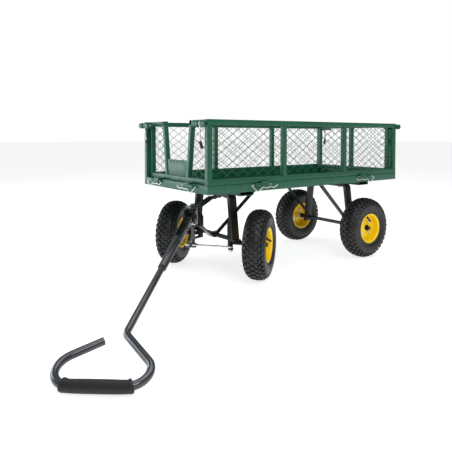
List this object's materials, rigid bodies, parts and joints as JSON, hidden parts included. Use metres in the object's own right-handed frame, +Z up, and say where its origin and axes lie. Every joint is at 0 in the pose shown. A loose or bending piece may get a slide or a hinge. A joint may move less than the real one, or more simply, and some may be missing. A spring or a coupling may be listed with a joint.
{
  "type": "garden cart",
  "caption": "Steel-mesh garden cart: flat tray with four fold-down mesh panels, knuckle-steered front wheels on pneumatic tyres and a pull handle with a loop grip.",
  "frame": {"origin": "on the ground, in the middle between the four wheels", "axes": "+Z up, -X towards the cart's front where the handle is, +Y to the cart's left"},
  "size_m": [1.6396, 0.9533, 0.588],
  "materials": {
    "paint_green": "gloss paint",
    "paint_black": "satin paint",
    "handle_grey": "satin paint",
    "zinc": "zinc plated",
    "rim_yellow": "gloss paint",
    "tyre": "moulded rubber",
    "grip_vinyl": "smooth vinyl",
    "grip_foam": "foam"
  },
  "bodies": {
    "chassis": {"bed_tray": "paint_green", "cross_rails": "paint_green", "front_frame": "paint_black", "front_crossbar": "paint_black", "front_brace": "paint_black", "rear_frame": "paint_black", "rear_axle": "paint_black", "rear_braces": "paint_black", "tongue_upper": "paint_black", "tongue_lower": "paint_black", "frame_bolts": "zinc"},
    "panel_near": {"panel_near_frame": "paint_green", "panel_near_mesh": "paint_green"},
    "panel_far": {"panel_far_frame": "paint_green", "panel_far_mesh": "paint_green"},
    "panel_front": {"panel_front_frame": "paint_green", "panel_front_mesh": "paint_green", "panel_front_plate": "paint_green"},
    "panel_rear": {"panel_rear_frame": "paint_green", "panel_rear_mesh": "paint_green"},
    "latch_front_near": {"latch_front_near_bolt": "zinc", "latch_front_near_grip": "grip_vinyl"},
    "latch_front_far": {"latch_front_far_bolt": "zinc", "latch_front_far_grip": "grip_vinyl"},
    "latch_rear_near": {"latch_rear_near_bolt": "zinc", "latch_rear_near_grip": "grip_vinyl"},
    "latch_rear_far": {"latch_rear_far_bolt": "zinc", "latch_rear_far_grip": "grip_vinyl"},
    "clip_near_front": {"clip_near_front": "zinc"},
    "clip_near_rear": {"clip_near_rear": "zinc"},
    "clip_far_front": {"clip_far_front": "zinc"},
    "clip_far_rear": {"clip_far_rear": "zinc"},
    "clip_front_near": {"clip_front_near": "zinc"},
    "clip_front_far": {"clip_front_far": "zinc"},
    "clip_rear_near": {"clip_rear_near": "zinc"},
    "clip_rear_far": {"clip_rear_far": "zinc"},
    "wheel_front_near": {"wheel_front_near_tyre": "tyre", "wheel_front_near_rim": "rim_yellow", "wheel_front_near_hub": "zinc"},
    "wheel_front_far": {"wheel_front_far_tyre": "tyre", "wheel_front_far_rim": "rim_yellow", "wheel_front_far_hub": "zinc"},
    "wheel_rear_near": {"wheel_rear_near_tyre": "tyre", "wheel_rear_near_rim": "rim_yellow", "wheel_rear_near_hub": "zinc"},
    "wheel_rear_far": {"wheel_rear_far_tyre": "tyre", "wheel_rear_far_rim": "rim_yellow", "wheel_rear_far_hub": "zinc"},
    "spindle_near": {"spindle_near": "paint_black"},
    "tie_rod_near": {"tie_rod_near": "zinc"},
    "spindle_far": {"spindle_far": "paint_black"},
    "tie_rod_far": {"tie_rod_far": "zinc"},
    "head": {"head_yoke": "paint_black", "head_kingpin": "zinc", "head_pivot_bolt": "zinc"},
    "handle": {"handle_fork": "handle_grey", "handle_tube": "handle_grey", "handle_grip": "grip_foam"}
  },
  "joints": [
    {"name": "steer", "type": "hinge", "parent": "chassis", "child": "head", "pos_m": [-0.427, 0, 0.22], "axis": [0, 0, 1], "range_deg": [-90, 0]},
    {"name": "handle_tilt", "type": "hinge", "parent": "head", "child": "handle", "pos_m": [-0.46236, -0.03535, 0.23166], "axis": [-0.7071, 0.7071, 0], "range_deg": [0, 38]},
    {"name": "spindle_near_turn", "type": "hinge", "parent": "chassis", "child": "spindle_near", "pos_m": [-0.3265, -0.104, 0.17], "axis": [0, 0, 1], "range_deg": [-74, 0]},
    {"name": "tie_rod_near_turn", "type": "hinge", "parent": "head", "child": "tie_rod_near", "pos_m": [-0.44397, -0.03394, 0.123], "axis": [0, 0, 1], "range_deg": [0, 90]},
    {"name": "wheel_front_near_spin", "type": "hinge", "parent": "spindle_near", "child": "wheel_front_near", "pos_m": [-0.25789, -0.19504, 0.13], "axis": [-0.6018, 0.7986, 0], "continuous": true},
    {"name": "wheel_rear_near_spin", "type": "hinge", "parent": "chassis", "child": "wheel_rear_near", "pos_m": [0.3265, -0.2075, 0.13], "axis": [0, 1, 0], "continuous": true},
    {"name": "spindle_far_turn", "type": "hinge", "parent": "chassis", "child": "spindle_far", "pos_m": [-0.3265, 0.104, 0.17], "axis": [0, 0, 1], "range_deg": [-74, 0]},
    {"name": "tie_rod_far_turn", "type": "hinge", "parent": "head", "child": "tie_rod_far", "pos_m": [-0.46094, -0.01697, 0.123], "axis": [0, 0, 1], "range_deg": [0, 90]},
    {"name": "wheel_front_far_spin", "type": "hinge", "parent": "spindle_far", "child": "wheel_front_far", "pos_m": [-0.39511, 0.19504, 0.13], "axis": [-0.6018, 0.7986, 0], "continuous": true},
    {"name": "wheel_rear_far_spin", "type": "hinge", "parent": "chassis", "child": "wheel_rear_far", "pos_m": [0.3265, 0.2075, 0.13], "axis": [0, 1, 0], "continuous": true},
    {"name": "panel_near_fold", "type": "hinge", "parent": "chassis", "child": "panel_near", "pos_m": [0, -0.243, 0.358], "axis": [1, 0, 0], "range_deg": [0, 90]},
    {"name": "panel_far_fold", "type": "hinge", "parent": "chassis", "child": "panel_far", "pos_m": [0, 0.243, 0.358], "axis": [-1, 0, 0], "range_deg": [0, 90]},
    {"name": "panel_front_fold", "type": "hinge", "parent": "chassis", "child": "panel_front", "pos_m": [-0.523, 0, 0.358], "axis": [0, -1, 0], "range_deg": [0, 90]},
    {"name": "panel_rear_fold", "type": "hinge", "parent": "chassis", "child": "panel_rear", "pos_m": [0.523, 0, 0.358], "axis": [0, 1, 0], "range_deg": [0, 90]},
    {"name": "latch_front_near_slide", "type": "slide", "parent": "panel_front", "child": "latch_front_near", "axis": [0, -1, 0], "range_m": [0, 0.009]},
    {"name": "latch_front_far_slide", "type": "slide", "parent": "panel_front", "child": "latch_front_far", "axis": [0, 1, 0], "range_m": [0, 0.009]},
    {"name": "latch_rear_near_slide", "type": "slide", "parent": "panel_rear", "child": "latch_rear_near", "axis": [0, -1, 0], "range_m": [0, 0.009]},
    {"name": "latch_rear_far_slide", "type": "slide", "parent": "panel_rear", "child": "latch_rear_far", "axis": [0, 1, 0], "range_m": [0, 0.009]},
    {"name": "clip_near_front_pull", "type": "slide", "parent": "chassis", "child": "clip_near_front", "axis": [-1, 0, 0], "range_m": [0, 0.08]},
    {"name": "clip_near_rear_pull", "type": "slide", "parent": "chassis", "child": "clip_near_rear", "axis": [1, 0, 0], "range_m": [0, 0.08]},
    {"name": "clip_far_front_pull", "type": "slide", "parent": "chassis", "child": "clip_far_front", "axis": [-1, 0, 0], "range_m": [0, 0.08]},
    {"name": "clip_far_rear_pull", "type": "slide", "parent": "chassis", "child": "clip_far_rear", "axis": [1, 0, 0], "range_m": [0, 0.08]},
    {"name": "clip_front_near_pull", "type": "slide", "parent": "chassis", "child": "clip_front_near", "axis": [0, -1, 0], "range_m": [0, 0.08]},
    {"name": "clip_front_far_pull", "type": "slide", "parent": "chassis", "child": "clip_front_far", "axis": [0, 1, 0], "range_m": [0, 0.08]},
    {"name": "clip_rear_near_pull", "type": "slide", "parent": "chassis", "child": "clip_rear_near", "axis": [0, -1, 0], "range_m": [0, 0.08]},
    {"name": "clip_rear_far_pull", "type": "slide", "parent": "chassis", "child": "clip_rear_far", "axis": [0, 1, 0], "range_m": [0, 0.08]}
  ],
  "couplings": [
    {"joint": "spindle_near_turn", "follows": "steer", "ratio": 0.82222},
    {"joint": "spindle_far_turn", "follows": "steer", "ratio": 0.82222},
    {"joint": "tie_rod_near_turn", "follows": "steer", "ratio": -1},
    {"joint": "tie_rod_far_turn", "follows": "steer", "ratio": -1}
  ]
}
